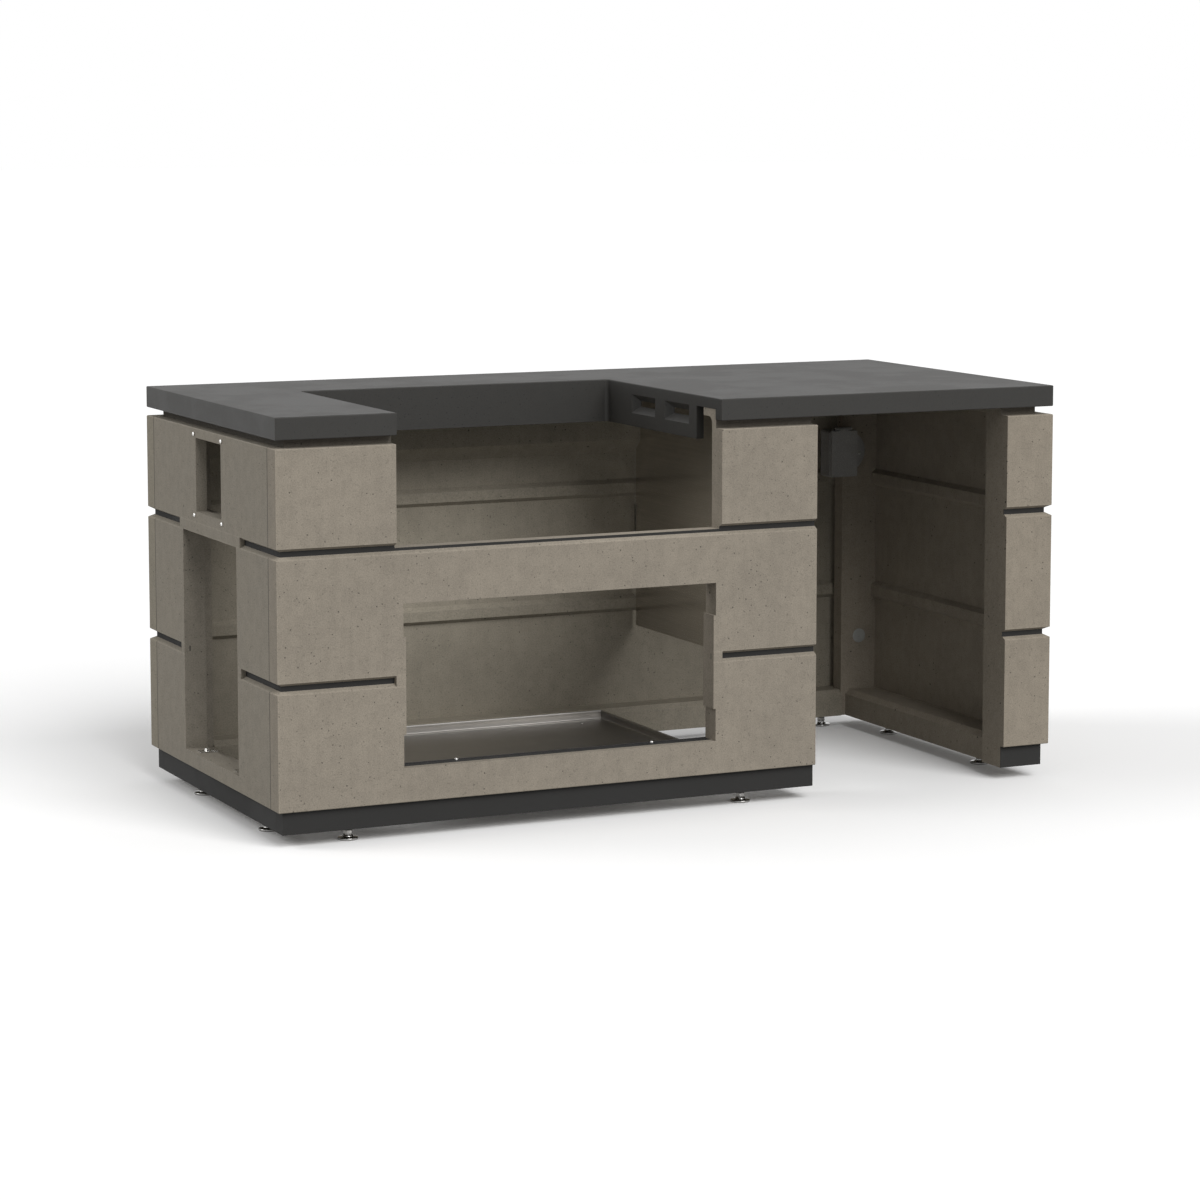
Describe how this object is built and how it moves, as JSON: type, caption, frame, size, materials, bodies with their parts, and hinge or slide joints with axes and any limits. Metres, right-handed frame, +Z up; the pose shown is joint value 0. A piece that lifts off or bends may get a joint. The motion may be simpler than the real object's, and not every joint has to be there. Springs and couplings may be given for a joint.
{
  "type": "outdoor kitchen island",
  "caption": "Hollow concrete kitchen island with a grill cut-out, a storage tray behind a door opening, an open appliance bay and levelling feet.",
  "frame": {"origin": "middle of the footprint, on the ground under the levelling feet", "axes": "+X along the front to the appliance bay, +Y from the front face to the back, +Z up"},
  "size_m": [1.8965, 0.862, 0.914],
  "materials": {
    "block_concrete": "smooth cast concrete with small pinholes",
    "counter_concrete": "honed and sealed dark concrete",
    "divider_board": "brushed stainless sheet",
    "stainless_steel": "brushed sheet",
    "polished_steel": "polished turned steel",
    "zinc_steel": "zinc plated",
    "dark_paint": "textured powder coat on a casting",
    "grey_plastic": "moulded"
  },
  "bodies": {
    "island": {"front_panel": "block_concrete", "left_panel": "block_concrete", "right_panel": "block_concrete", "back_panel": "block_concrete", "countertop": "counter_concrete", "divider_board": "divider_board", "divider_angle": "zinc_steel", "divider_screw_1": "zinc_steel", "divider_screw_2": "zinc_steel", "divider_screw_3": "zinc_steel", "storage_tray": "stainless_steel", "tray_arm_left": "zinc_steel", "tray_arm_right": "zinc_steel", "joint_bolt_front_left_low": "zinc_steel", "bolt_cap_front_left_low": "grey_plastic", "joint_bolt_front_left_high": "zinc_steel", "bolt_cap_front_left_high": "grey_plastic", "joint_bolt_back_left_low": "zinc_steel", "bolt_cap_back_left_low": "grey_plastic", "joint_bolt_back_left_high": "zinc_steel", "bolt_cap_back_left_high": "grey_plastic", "joint_bolt_back_right_low": "zinc_steel", "bolt_cap_back_right_low": "grey_plastic", "joint_bolt_back_right_high": "zinc_steel", "outlet_plate": "dark_paint", "outlet_box": "dark_paint", "outlet_receptacle": "grey_plastic", "outlet_hinge_pin": "zinc_steel", "window_screw_1": "stainless_steel", "window_screw_2": "stainless_steel", "window_screw_3": "stainless_steel", "window_screw_4": "stainless_steel", "door_screw_sill_left": "stainless_steel", "door_screw_sill_right": "stainless_steel", "door_screw_head_left": "stainless_steel", "door_screw_head_right": "stainless_steel", "sill_clip_front": "stainless_steel", "sill_clip_screw_front": "stainless_steel", "sill_clip_back": "stainless_steel", "sill_clip_screw_back": "stainless_steel"},
    "foot_front_left": {"foot_pad_front_left": "polished_steel", "foot_stem_front_left": "zinc_steel"},
    "foot_front_right": {"foot_pad_front_right": "polished_steel", "foot_stem_front_right": "zinc_steel"},
    "foot_left_front": {"foot_pad_left_front": "polished_steel", "foot_stem_left_front": "zinc_steel"},
    "foot_left_back": {"foot_pad_left_back": "polished_steel", "foot_stem_left_back": "zinc_steel"},
    "foot_right_front": {"foot_pad_right_front": "polished_steel", "foot_stem_right_front": "zinc_steel"},
    "foot_right_back": {"foot_pad_right_back": "polished_steel", "foot_stem_right_back": "zinc_steel"},
    "foot_back_left": {"foot_pad_back_left": "polished_steel", "foot_stem_back_left": "zinc_steel"},
    "foot_back_right": {"foot_pad_back_right": "polished_steel", "foot_stem_back_right": "zinc_steel"},
    "lid": {"outlet_lid": "dark_paint"}
  },
  "joints": [
    {"name": "foot_front_left_height", "type": "slide", "parent": "island", "child": "foot_front_left", "axis": [0, 0, -1], "range_m": [0, 0.02]},
    {"name": "foot_front_right_height", "type": "slide", "parent": "island", "child": "foot_front_right", "axis": [0, 0, -1], "range_m": [0, 0.02]},
    {"name": "foot_left_front_height", "type": "slide", "parent": "island", "child": "foot_left_front", "axis": [0, 0, -1], "range_m": [0, 0.02]},
    {"name": "foot_left_back_height", "type": "slide", "parent": "island", "child": "foot_left_back", "axis": [0, 0, -1], "range_m": [0, 0.02]},
    {"name": "foot_right_front_height", "type": "slide", "parent": "island", "child": "foot_right_front", "axis": [0, 0, -1], "range_m": [0, 0.02]},
    {"name": "foot_right_back_height", "type": "slide", "parent": "island", "child": "foot_right_back", "axis": [0, 0, -1], "range_m": [0, 0.02]},
    {"name": "foot_back_left_height", "type": "slide", "parent": "island", "child": "foot_back_left", "axis": [0, 0, -1], "range_m": [0, 0.02]},
    {"name": "foot_back_right_height", "type": "slide", "parent": "island", "child": "foot_back_right", "axis": [0, 0, -1], "range_m": [0, 0.02]},
    {"name": "outlet_lid_flip", "type": "hinge", "parent": "island", "child": "lid", "pos_m": [0.7985, 0.2911, 0.7566], "axis": [-1, 0, 0], "range_deg": [0, 110]}
  ]
}
